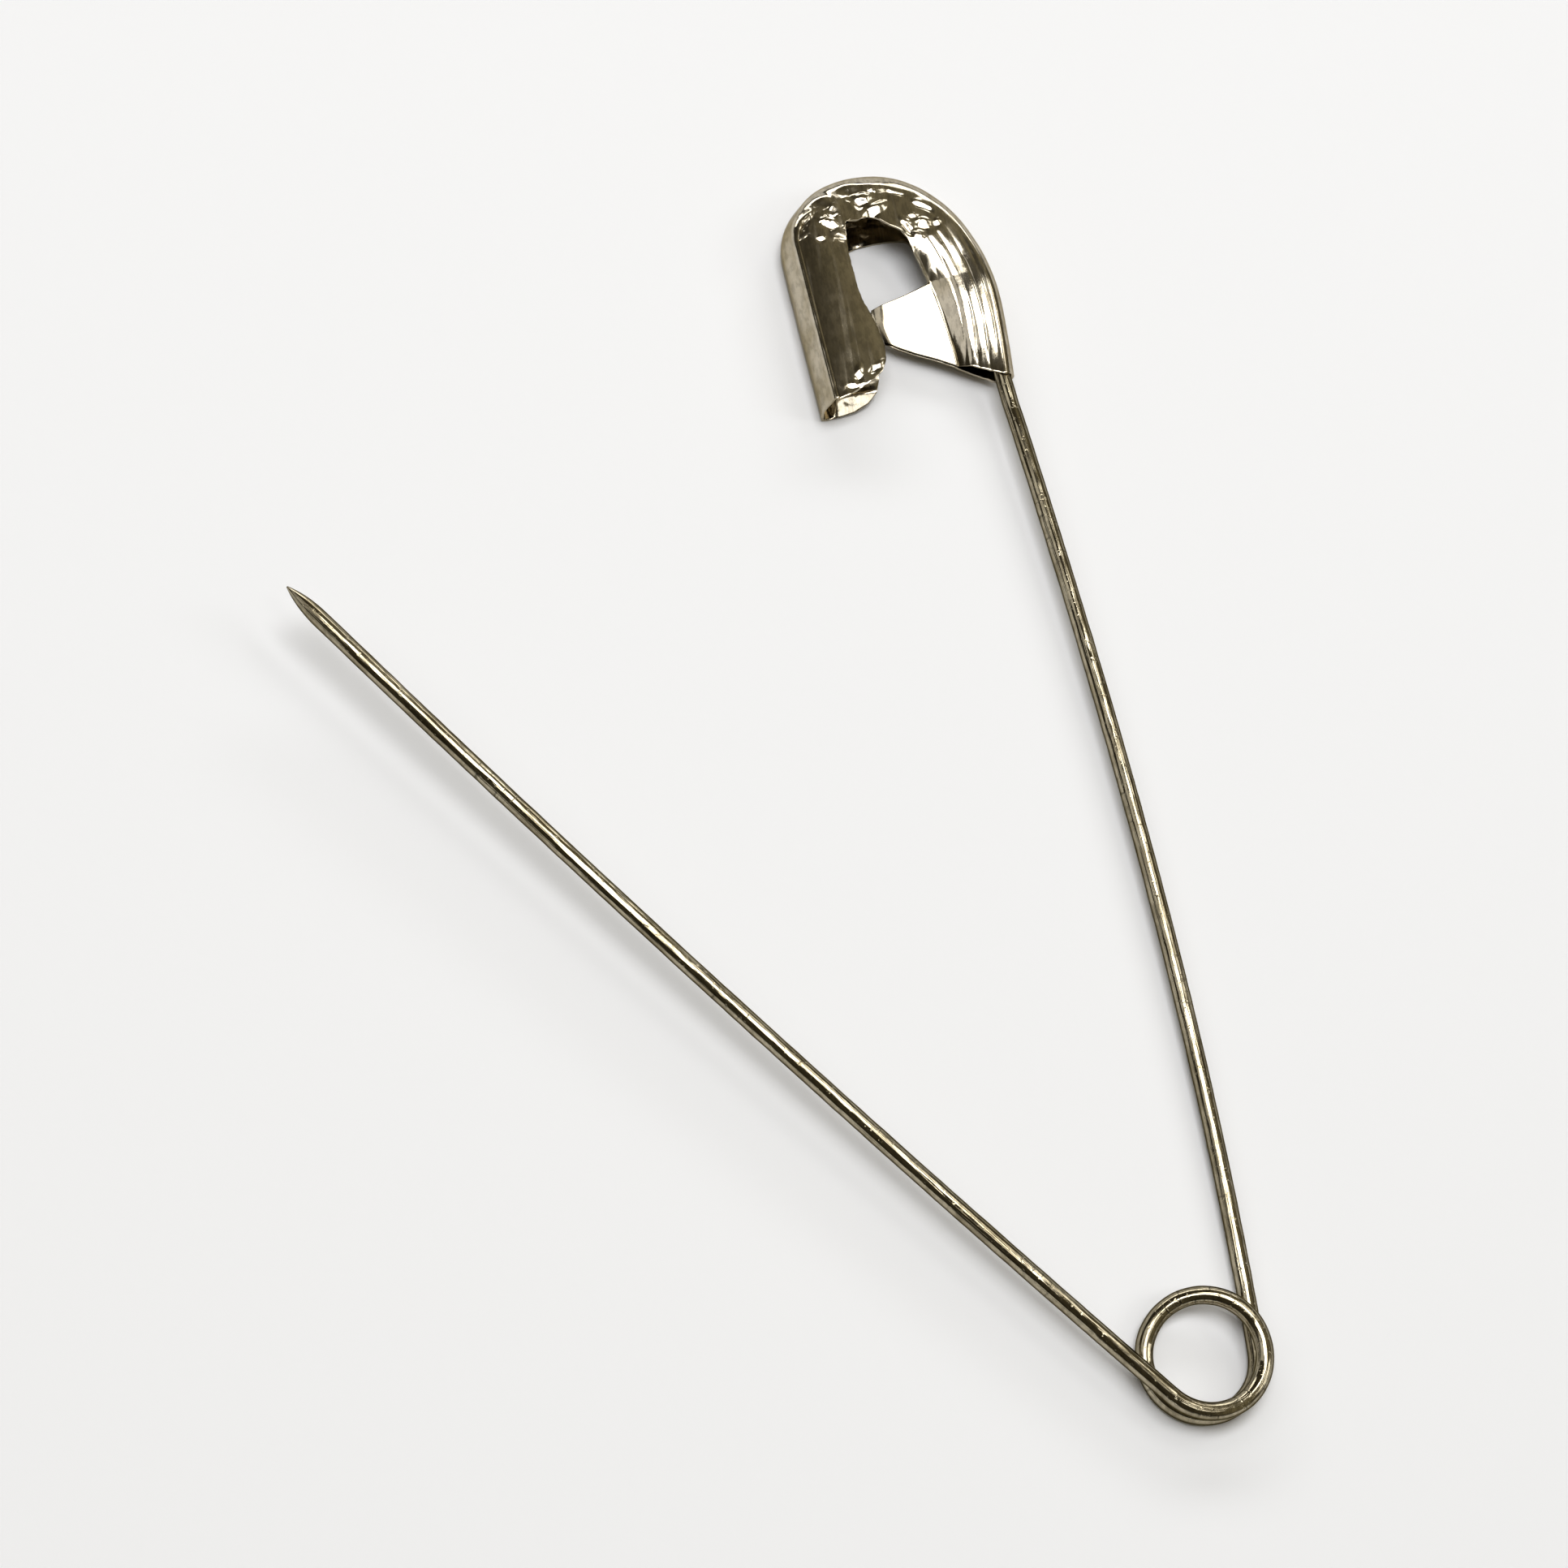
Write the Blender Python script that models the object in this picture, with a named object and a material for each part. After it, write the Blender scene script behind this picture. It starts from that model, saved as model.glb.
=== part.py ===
"""Large safety pin with a folded sheet-metal clasp, shown open and lying on its back.

One length of spring wire makes the back arm, the coil and the pin arm, and one stamping makes the clasp cap.
Sizes are in metres and angles in degrees. While the pieces are made, the coil's axis is the origin, +Y runs
towards the clasp and +Z is the side on which the pin arm passes over it. The finished pin is then moved so
that its origin lies in the middle of its footprint, on the surface that it rests on.
"""

import math

import bmesh
import bpy
import numpy as np
from mathutils import Vector

# Driving sizes of the wire
WIRE_DIAMETER = 0.0013
COIL_RADIUS = 0.0041
COIL_TURN_GAP = 0.00042
BACK_ARM_LENGTH = 0.0768
PIN_ARM_LENGTH = 0.0841
POINT_TAPER_LENGTH = 0.0038
POINT_TIP_DIAMETER = 0.00012

# Directions of the two arms, counted from +X, where they leave the coil and where they end
BACK_ARM_START_DEG = 84.5
BACK_ARM_END_DEG = 92.6
PIN_ARM_START_DEG = 127.7
PIN_ARM_END_DEG = 124.3

# Driving sizes of the clasp cap
CAP_WIDTH = 0.01545
CAP_LENGTH = 0.01915
CAP_THICKNESS = 0.0038
CAP_SHEET = 0.0003

# Clearances
SEAM_GAP = 0.00015
CRIMP_CLEARANCE = 0.00008
PASS_CLEARANCE = 0.0002

WIRE_RADIUS = WIRE_DIAMETER / 2


def clear_scene():
    for old in list(bpy.data.objects):
        bpy.data.objects.remove(old, do_unlink=True)


def plated_metal(name, colour, roughness):
    material = bpy.data.materials.new(name)
    material.use_nodes = True
    shader = material.node_tree.nodes["Principled BSDF"]
    shader.inputs["Base Color"].default_value = (*colour, 1)
    shader.inputs["Metallic"].default_value = 1
    shader.inputs["Roughness"].default_value = roughness
    return material


def direction(degrees):
    return Vector((math.cos(math.radians(degrees)), math.sin(math.radians(degrees)), 0))


# The wire: centre lines of its three stretches

COIL_POINTS_PER_TURN = 24
COIL_FLAT_DEG = 165
COIL_LIFTED_DEG = 330
ARM_POINTS = 33
BACK_ARM_EARLY_BEND_SHARE = 0.6


def smooth(value):
    value = min(max(value, 0), 1)
    return value * value * (3 - 2 * value)


def bowed_line(start, start_deg, end_deg, length, early_bend_share=0):
    """A flat line that turns from one direction to the other, more of it near the start if the share is over 0."""
    step = length / (ARM_POINTS - 1)
    points = [start.copy()]
    for index in range(1, ARM_POINTS):
        left = 1 - (index - 1 / 2) / (ARM_POINTS - 1)
        turned = 1 - left ** (1 + early_bend_share)
        points.append(points[-1] + step * direction(start_deg + (end_deg - start_deg) * turned))
    return points


def sloped(points, low, high):
    """The same line in plan, rising evenly from one height to the other."""
    last = len(points) - 1
    return [Vector((p.x, p.y, low + (high - low) * index / last)) for index, p in enumerate(points)]


def coil_start_deg():
    """Place on the coil where the back arm meets it, at right angles to the arm."""
    return BACK_ARM_START_DEG - 90


def coil_turn_deg():
    """How far the wire winds between the arms, more than once round, down from the pin arm to the back arm."""
    return 360 + coil_start_deg() - (PIN_ARM_START_DEG - 270)


def coil_pitch():
    return WIRE_DIAMETER + COIL_TURN_GAP


def coil_foot():
    """Height of the coil's lower end, which rests on the same surface as the cap's back."""
    return WIRE_RADIUS - CAP_THICKNESS / 2


def coil_height(degrees_from_back_arm):
    """Flat while it rests on the surface, then up by one pitch, and flat again on top of its own start."""
    lifted = (degrees_from_back_arm - COIL_FLAT_DEG) / (COIL_LIFTED_DEG - COIL_FLAT_DEG)
    return coil_foot() + coil_pitch() * smooth(lifted)


def coil_head():
    return coil_height(coil_turn_deg())


def on_coil(degrees_from_back_arm):
    """Centre of the wire after winding this far round from the back arm, clockwise and upwards."""
    spot = COIL_RADIUS * direction(coil_start_deg() - degrees_from_back_arm)
    return spot + Vector((0, 0, coil_height(degrees_from_back_arm)))


def coil_line():
    """Centre line of the coil between its two seams, each half a seam gap short of the arm."""
    margin = math.degrees(SEAM_GAP / 2 / COIL_RADIUS)
    count = math.ceil(COIL_POINTS_PER_TURN * coil_turn_deg() / 360)
    first, last = margin, coil_turn_deg() - margin
    return [on_coil(first + (last - first) * index / count) for index in range(count + 1)]


def back_arm_line():
    """Centre line of the back arm as far as the crimp's mouth."""
    start = COIL_RADIUS * direction(coil_start_deg()) + SEAM_GAP / 2 * direction(BACK_ARM_START_DEG)
    flat = bowed_line(start, BACK_ARM_START_DEG, BACK_ARM_END_DEG, BACK_ARM_LENGTH, BACK_ARM_EARLY_BEND_SHARE)
    return sloped(flat, coil_foot(), 0)


def keeper_mouth_distance():
    """Distance from the coil's axis to the mouth of the keeper, along the latched pin arm."""
    keeper = cap_corner()
    return math.hypot(keeper.x + CAP_SHEET + WIRE_RADIUS, keeper.y)


def pin_arm_line():
    """Centre line of the pin arm at rest. It rises as it goes, so that it swings clear in front of the cap."""
    start = COIL_RADIUS * direction(PIN_ARM_START_DEG - 270) + SEAM_GAP / 2 * direction(PIN_ARM_START_DEG)
    flat = bowed_line(start, PIN_ARM_START_DEG, PIN_ARM_END_DEG, PIN_ARM_LENGTH)
    over_cap = CAP_THICKNESS / 2 + WIRE_RADIUS + PASS_CLEARANCE
    rise = (over_cap - coil_head()) * PIN_ARM_LENGTH / keeper_mouth_distance()
    return sloped(flat, coil_head(), coil_head() + rise)


def least_gap(points, diameter):
    """Least clear distance between stretches of one tube that are over half a turn apart along it."""
    spots = np.array(points)
    apart = COIL_POINTS_PER_TURN // 2
    nearest = min(
        np.linalg.norm(spots[index + apart :] - spots[index], axis=1).min()
        for index in range(len(spots) - apart)
    )
    return nearest - diameter


WIRE_SIDES_RESOLUTION = 4
COIL_SIDES_RESOLUTION = 1


def wire_object(name, points, origin, material, resolution, radius_shares=None):
    """A round tube along the points, with filled ends, whose own origin is the one given."""
    curve = bpy.data.curves.new(name, "CURVE")
    curve.dimensions = "3D"
    curve.bevel_depth = WIRE_RADIUS
    curve.bevel_resolution = resolution
    curve.use_fill_caps = True
    spline = curve.splines.new("POLY")
    spline.points.add(len(points) - 1)
    for index, point in enumerate(points):
        spline.points[index].co = (*(point - origin), 1)
        spline.points[index].radius = radius_shares[index] if radius_shares else 1
    spline.use_smooth = True
    curve.materials.append(material)
    wire = bpy.data.objects.new(name, curve)
    wire.location = origin
    bpy.context.scene.collection.objects.link(wire)
    return wire


# The pin arm's point: a short taper that leaves the wire gently and gets steeper towards its tip

TAPER_POINTS = 8
TAPER_CROWDING_SHARE = 0.6
POINT_FULLNESS_SHARE = 2.5


def with_point(points):
    """The arm's points with more of them along its taper, and each one's radius as a share of the wire's."""
    tip, before = points[-1], points[-2]
    along = (tip - before).normalized()
    shank = [p for p in points if (tip - p).length > POINT_TAPER_LENGTH]
    blunt = POINT_TIP_DIAMETER / WIRE_DIAMETER
    taper, shares = [], []
    for index in range(TAPER_POINTS + 1):
        left = (1 - index / TAPER_POINTS) ** (1 + TAPER_CROWDING_SHARE)
        taper.append(tip - along * (POINT_TAPER_LENGTH * left))
        shares.append(mix(1, blunt, (1 - left) ** POINT_FULLNESS_SHARE))
    return shank + taper, [1] * len(shank) + shares


# The clasp cap: one sheet, folded over its outer edge. It is laid out from the lower outer corner of its
# keeper, with u across to the crimp and v up to the crown, and lofted through folded sections.

CRIMP_END_RISE = 0.00095
KEEPER_SHOULDER = 0.01345
CRIMP_SHOULDER = 0.00945
CROWN_ACROSS = 0.0067
CROWN_FOOT = 0.0066
CROWN_FULLNESS_SHARE = 2.18
KEEPER_WALL = 0.0044
KEEPER_LOBE = 0.00087
KEEPER_LOBE_HEIGHT = 0.0039
KEEPER_LOBE_LENGTH = 0.0045
KEEPER_LIP = 0.0009
FRONT_CROWN_WALL = 0.0048
BACK_CROWN_WALL = 0.0045
SHOULDER_WALL = 0.0043
CHANNEL_WIDTH = 0.0046
CHANNEL_LIP = 0.00035
CRIMP_SLANT = 0.0012
CRIMP_GRIP = 0.008
TONGUE_REACH = 0.0053
TONGUE_TOP = 0.0083
TONGUE_TIP_HEIGHT = 0.0025
TONGUE_TIP_BELLY = 0.00015
TONGUE_TOP_DROP = 0.00125
TONGUE_GAP = 0.00005
KEEPER_FOLD_RADIUS = 0.00035
CROWN_FOLD_RADIUS = 0.0009
PINCH_RUN = 0.0036

# Shape of the fluted channel, across its width: places and heights as shares of its width and depth
FLUTE_PLACE_SHARES = (0.0, 0.45, 0.7, 0.86, 1.0)
FLUTE_HEIGHT_SHARES = (1.0, 0.86, 0.97, 0.8, 0.0)
WALL_FLUTED_SHARE = 0.9

KEEPER_STATIONS = 26
SHOULDER_STATIONS = 12
CRIMP_SHOULDER_STATIONS = 14
STATION_STEP = 0.0007
FOLD_STEPS = 4
TONGUE_STEPS = 3
MOUTH_CROWDING_SHARE = 0.7


def crimp_fold_radius():
    """Middle of the sheet where it is pressed round the wire."""
    return WIRE_RADIUS + CRIMP_CLEARANCE + CAP_SHEET / 2


def cap_corner():
    """Where the cap's layout corner lies, set by the back arm's end in the middle of the crimp's fold."""
    end = back_arm_line()[-1]
    across = crimp_end_across() - crimp_fold_radius() - CAP_SHEET / 2
    return Vector((end.x - across, end.y - CRIMP_END_RISE, 0))


def crimp_end_across():
    """The crimp side leans in towards its mouth, as far as the back arm leans over the length of the crimp."""
    lean = math.tan(math.radians(BACK_ARM_END_DEG - 90)) / 2
    return CAP_WIDTH - lean * (CRIMP_SHOULDER - CRIMP_END_RISE)


def crimp_side(v):
    """Where the crimp side's outer edge is at this height: a full quarter round, and nearly straight below it."""
    if v > CROWN_FOOT:
        raised = (v - CROWN_FOOT) / (CAP_LENGTH - CROWN_FOOT)
        round_share = max(1 - raised**CROWN_FULLNESS_SHARE, 0) ** (1 / CROWN_FULLNESS_SHARE)
        return mix(CROWN_ACROSS, CAP_WIDTH, round_share)
    down = (CROWN_FOOT - v) / (CROWN_FOOT - CRIMP_END_RISE)
    return mix(CAP_WIDTH, crimp_end_across(), down * down)


def mix(first, second, share):
    return first + (second - first) * share


def keeper_width(v):
    """Width of the keeper's walls, with the rounded lobe that guides the point in and the curved lip below it."""
    from_lobe = (v - KEEPER_LOBE_HEIGHT) / KEEPER_LOBE_LENGTH
    width = KEEPER_WALL + KEEPER_LOBE * smooth(1 - abs(from_lobe))
    if v >= KEEPER_LOBE_HEIGHT:
        return width
    below = 1 - v / KEEPER_LOBE_HEIGHT
    return mix(KEEPER_LIP, width, math.sqrt(1 - below * below))


def tongue_outline():
    """Corners of the crimp side's inner edge, as heights v and distances in from its outer edge, going down."""
    tip = CHANNEL_WIDTH + TONGUE_REACH
    edge = CHANNEL_WIDTH + CHANNEL_LIP
    root = CRIMP_END_RISE + TONGUE_TOP
    tip_top = root - TONGUE_TOP_DROP
    tip_foot = tip_top - TONGUE_TIP_HEIGHT
    return [
        (CRIMP_SHOULDER, edge),
        (root, edge),
        (tip_top, tip - TONGUE_TIP_BELLY),
        ((tip_top + tip_foot) / 2, tip),
        (tip_foot, tip - TONGUE_TIP_BELLY),
        (CRIMP_END_RISE + CRIMP_SLANT, edge),
        (CRIMP_END_RISE, crimp_fold_radius() + CAP_SHEET),
    ]


def keeper_sections():
    """From the keeper's mouth up its straight outer wall."""
    for index in range(KEEPER_STATIONS):
        v = KEEPER_SHOULDER * (index / KEEPER_STATIONS) ** (1 + MOUTH_CROWDING_SHARE)
        yield section(Vector((0, v, 0)), Vector((1, 0, 0)), keeper_width(v), keeper_width(v), KEEPER_FOLD_RADIUS)


def crown_sections():
    """Over the crown, as two quarter rounds that meet at its highest point."""
    left = (CROWN_ACROSS, CAP_LENGTH - KEEPER_SHOULDER, KEEPER_SHOULDER)
    right = (CAP_WIDTH - CROWN_ACROSS, CAP_LENGTH - CRIMP_SHOULDER, CRIMP_SHOULDER)
    for index in range(SHOULDER_STATIONS):
        share = index / SHOULDER_STATIONS
        dip = math.sin(math.pi * share)
        narrowed = mix(KEEPER_WALL, SHOULDER_WALL, dip)
        front, back = (mix(narrowed, wall, share * share) for wall in (FRONT_CROWN_WALL, BACK_CROWN_WALL))
        fold = mix(KEEPER_FOLD_RADIUS, CROWN_FOLD_RADIUS, smooth(share))
        yield around(180 - 90 * share, *left, front, back, fold, 0)
    for index in range(CRIMP_SHOULDER_STATIONS):
        share = index / CRIMP_SHOULDER_STATIONS
        edge = CHANNEL_WIDTH + CHANNEL_LIP
        front, back = (mix(wall, edge, smooth(share)) for wall in (FRONT_CROWN_WALL, BACK_CROWN_WALL))
        fold = mix(CROWN_FOLD_RADIUS, crimp_fold_radius(), share)
        to_tongue = (CAP_LENGTH - CRIMP_SHOULDER) * math.cos(math.radians(90 * share))
        yield around(90 - 90 * share, *right, front, back, fold, smooth(1 - to_tongue / PINCH_RUN))


def around(degrees, across, along, foot, front, back, fold, pinch):
    """A section of the crown at this angle of its round, about square to its outer edge."""
    spot = direction(degrees)
    outer = Vector((CROWN_ACROSS + across * spot.x, foot + along * spot.y, 0))
    if degrees < 90:
        outer.x = crimp_side(outer.y)
    inward = -Vector((spot.x / across, spot.y / along, 0)).normalized()
    return section(outer, inward, front, back, fold, pinch)


def crimp_sections():
    """Down the crimp side, where both walls bend in to meet as the tongue and end at its slanting edges."""
    corners = tongue_outline()
    for (high, wide), (low, narrow) in zip(corners, corners[1:]):
        steps = max(1, math.ceil((high - low) / STATION_STEP))
        for index in range(steps):
            yield crimp_section(mix(high, low, index / steps), mix(wide, narrow, index / steps))
    yield crimp_section(*corners[-1])


def crimp_section(v, width):
    down = (CRIMP_SHOULDER - v) / (CRIMP_SHOULDER - CRIMP_END_RISE)
    outer = Vector((crimp_side(v), v, 0))
    return section(outer, Vector((-1, 0, 0)), width, width, crimp_fold_radius(), 1, down)


def section(outer, inward, front, back, fold, pinch=0, down=0):
    """One folded section: where its outer edge is, which way is in, and the sheet's middle line across it."""
    depth = mix((CAP_THICKNESS - CAP_SHEET) / 2, crimp_fold_radius(), smooth(down))
    line = [(d, -z) for d, z in reversed(half_profile(back, depth, fold, pinch))]
    line += half_profile(front, depth, fold, pinch)[1:]
    return outer + inward * (CAP_SHEET / 2), inward, np.array(line)


def half_profile(width, depth, fold, pinch):
    """Middle line of one wall, from the fold to its inner edge, as distances in from the fold and heights."""
    points = []
    for index in range(FOLD_STEPS + 1):
        angle = math.pi / 2 * index / FOLD_STEPS
        side = (depth - fold) * min(index, 1)
        points.append((fold * (1 - math.cos(angle)), side + fold * math.sin(angle)))
    reach = width - CAP_SHEET / 2
    channel = min(CHANNEL_WIDTH - CAP_SHEET / 2, mix(fold, reach, WALL_FLUTED_SHARE))
    foot = (CAP_SHEET + TONGUE_GAP) / 2
    flute_places = [mix(fold, CHANNEL_WIDTH - CAP_SHEET / 2, share) for share in FLUTE_PLACE_SHARES]
    flute_heights = [mix(depth, mix(foot, depth, share), pinch) for share in FLUTE_HEIGHT_SHARES]
    places = [mix(fold, channel, share) for share in FLUTE_PLACE_SHARES[1:]]
    places += [mix(channel, reach, (index + 1) / TONGUE_STEPS) for index in range(TONGUE_STEPS)]
    return points + [(place, float(np.interp(place, flute_places, flute_heights))) for place in places]


def offset(line, distance):
    """The line moved sideways by a distance, square to itself."""
    ahead = np.roll(line, -1, axis=0) - line
    ahead[-1] = ahead[-2]
    ahead /= np.maximum(np.linalg.norm(ahead, axis=1, keepdims=True), np.finfo(float).tiny)
    behind = np.roll(ahead, 1, axis=0)
    behind[0] = ahead[0]
    normal = np.stack([ahead[:, 1], -ahead[:, 0]], axis=1) + np.stack([behind[:, 1], -behind[:, 0]], axis=1)
    normal /= np.linalg.norm(normal, axis=1, keepdims=True)
    return line + normal * distance


def clasp_cap(material):
    corner = cap_corner()
    form = bmesh.new()
    rings = []
    for fold, inward, line in [*keeper_sections(), *crown_sections(), *crimp_sections()]:
        sides = (offset(line, CAP_SHEET / 2), offset(line, -CAP_SHEET / 2)[::-1])
        ring = [form.verts.new(corner + fold + inward * d + Vector((0, 0, z))) for d, z in np.concatenate(sides)]
        rings.append(ring)
    for ring, following in zip(rings, rings[1:]):
        for index in range(len(ring)):
            after = (index + 1) % len(ring)
            form.faces.new((ring[index], ring[after], following[after], following[index]))
    for ring in (rings[0], rings[-1]):
        half = len(ring) // 2
        for index in range(half - 1):
            form.faces.new((ring[index], ring[index + 1], ring[-index - 2], ring[-index - 1]))
    bmesh.ops.recalc_face_normals(form, faces=form.faces)
    mesh = bpy.data.meshes.new("clasp_cap")
    form.to_mesh(mesh)
    form.free()
    mesh.materials.append(material)
    mesh.shade_smooth()
    mesh.set_sharp_from_angle(angle=math.radians(SMOOTH_EDGE_DEG))
    cap = bpy.data.objects.new("clasp_cap", mesh)
    bpy.context.scene.collection.objects.link(cap)
    return cap


SMOOTH_EDGE_DEG = 50
WIRE_COLOUR = (0.60, 0.58, 0.52)
CAP_COLOUR = (0.66, 0.64, 0.58)


def footprint_origin(pieces):
    """The middle of the finished pin's footprint, at the height that it rests on."""
    bpy.context.view_layer.update()
    graph = bpy.context.evaluated_depsgraph_get()
    corners = []
    for piece in pieces:
        shape = piece.evaluated_get(graph)
        corners += [piece.matrix_world @ vertex.co for vertex in shape.to_mesh().vertices]
        shape.to_mesh_clear()
    low, high = np.min(corners, axis=0), np.max(corners, axis=0)
    return Vector(((low[0] + high[0]) / 2, (low[1] + high[1]) / 2, low[2]))


def grip_end(arm):
    """Inner end of the back arm's straight stretch inside the crimp."""
    return arm[-1] + CRIMP_GRIP * direction(BACK_ARM_END_DEG)


def build():
    clear_scene()
    wire_plate = plated_metal("wire_plate", WIRE_COLOUR, 0.22)
    cap_plate = plated_metal("cap_plate", CAP_COLOUR, 0.16)

    back = back_arm_line()
    pin = pin_arm_line()
    coil = coil_line()
    pointed, radius_shares = with_point(pin)
    pieces = [
        wire_object("back_arm", back + [grip_end(back)], Vector(), wire_plate, WIRE_SIDES_RESOLUTION),
        wire_object("spring_coil", coil, Vector(), wire_plate, COIL_SIDES_RESOLUTION),
        wire_object("pin_arm", pointed, pin[0], wire_plate, WIRE_SIDES_RESOLUTION, radius_shares),
        clasp_cap(cap_plate),
    ]
    frame = bpy.data.objects.new("pin_frame", None)
    bpy.context.scene.collection.objects.link(frame)
    for piece in pieces:
        piece.parent = frame
    frame.location = -footprint_origin(pieces)
    print(f"The coil's least gap to itself is {least_gap(coil, WIRE_DIAMETER) * 1000:.3f} mm")
    print(f"The coil's axis is at {tuple(round(value, 6) for value in frame.location)}")


build()
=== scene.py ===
"""Large nickel-plated safety pin, lying open on a pale table.

One wire makes the back arm, the coil and the pointed pin arm, and one folded stamping makes the clasp cap.
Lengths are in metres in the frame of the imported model, and angles in degrees.
"""

import math

import bpy
import numpy as np
from mathutils import Matrix, Vector, noise


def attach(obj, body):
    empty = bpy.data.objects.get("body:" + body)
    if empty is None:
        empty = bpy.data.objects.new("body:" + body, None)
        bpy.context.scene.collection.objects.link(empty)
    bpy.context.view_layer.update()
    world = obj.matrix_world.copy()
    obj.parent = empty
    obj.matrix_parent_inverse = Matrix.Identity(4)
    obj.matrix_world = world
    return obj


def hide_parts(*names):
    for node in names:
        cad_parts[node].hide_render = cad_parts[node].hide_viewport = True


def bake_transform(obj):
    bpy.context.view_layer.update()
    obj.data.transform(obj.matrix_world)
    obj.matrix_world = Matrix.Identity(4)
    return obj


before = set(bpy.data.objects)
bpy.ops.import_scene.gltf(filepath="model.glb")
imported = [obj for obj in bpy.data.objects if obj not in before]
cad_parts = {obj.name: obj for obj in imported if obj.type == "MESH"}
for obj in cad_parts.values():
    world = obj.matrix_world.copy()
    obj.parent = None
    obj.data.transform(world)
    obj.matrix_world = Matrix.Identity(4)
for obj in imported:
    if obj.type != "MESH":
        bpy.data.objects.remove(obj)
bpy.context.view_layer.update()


# The back arm. Hard-drawn spring wire with a bright nickel plate, bowed a little where it leaves the coil,
# pressed down slightly just before the cap and held in the cap's crimp. It is swept along its middle line,
# with the slow waves and flats that straightening rolls leave in a wire.

WIRE_RADIUS = 0.00065
COIL_RADIUS = 0.0041
COIL_CENTRE = Vector((0.023142, -0.044935, 0.0019))
COIL_FOOT = -0.00125
BACK_ARM_START_DEG = 84.5
BACK_ARM_END_DEG = 92.6
BACK_ARM_EARLY_BEND = 0.6
BACK_ARM_LENGTH = 0.0768
BACK_ARM_IN_CRIMP = 0.0078
KINK_PLACE = 0.0024
KINK_DEPTH = 0.00010
KINK_WIDTH = 0.0013
WIRE_STEP = 0.00028
WIRE_SIDES = 36
WAVE_DEPTH = 0.000016
WAVES_PER_METRE = 800
WAVES_ROUND = 0.8
FLAT_DEPTH = 0.000012
FLATS_PER_METRE = 45
FLATS_ROUND = 1.7
SHARP_FROM_DEG = 60
DOME_STEPS = 7
DOME_TIP_SHARE = 0.03
COIL_START_DEG = BACK_ARM_START_DEG - 90
MM = 1000


def toward(degrees):
    """The level direction at this angle from the X axis."""
    angle = math.radians(degrees)
    return Vector((math.cos(angle), math.sin(angle), 0))


def on_coil(degrees, height):
    """The place on the coil's middle line at this angle, this far above the coil's centre."""
    return COIL_CENTRE + COIL_RADIUS * toward(degrees) + Vector((0, 0, height))


def bowed(start, start_deg, end_deg, length, rise, early_bend=0):
    """Middle line of an arm that turns evenly, or sooner if early_bend is over 0, and rises evenly."""
    count = round(length / WIRE_STEP)
    line = [start.copy()]
    for index in range(count):
        turned = 1 - (1 - (index + 0.5) / count) ** (1 + early_bend)
        step = toward(start_deg + (end_deg - start_deg) * turned) * (length / count)
        line.append(line[-1] + step + Vector((0, 0, rise / count)))
    return line


def wire_waves(along, angle, seed):
    """How far the wire's skin lies off a true round here, from its slow waves and its rolled flats."""
    across, up = math.cos(angle), math.sin(angle)
    waves = noise.noise(Vector((along * WAVES_PER_METRE, across * WAVES_ROUND, up * WAVES_ROUND + seed)))
    flats = noise.noise(Vector((along * FLATS_PER_METRE + seed, across * FLATS_ROUND, up * FLATS_ROUND)))
    return WAVE_DEPTH * waves + FLAT_DEPTH * flats


def placed(name, data):
    """An object with this mesh, lamp or camera, put into the scene."""
    made = bpy.data.objects.new(name, data)
    bpy.context.scene.collection.objects.link(made)
    return made


def domed(line, radii):
    """The line and radii with a half-round end added beyond the last point."""
    out = (line[-1] - line[-2]).normalized()
    angles = [math.pi / 2 * (index + 1) / DOME_STEPS for index in range(DOME_STEPS)]
    points = [line[-1] + out * WIRE_RADIUS * math.sin(angle) for angle in angles]
    sizes = [WIRE_RADIUS * max(math.cos(angle), DOME_TIP_SHARE) for angle in angles]
    return line + points, radii + sizes


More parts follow.
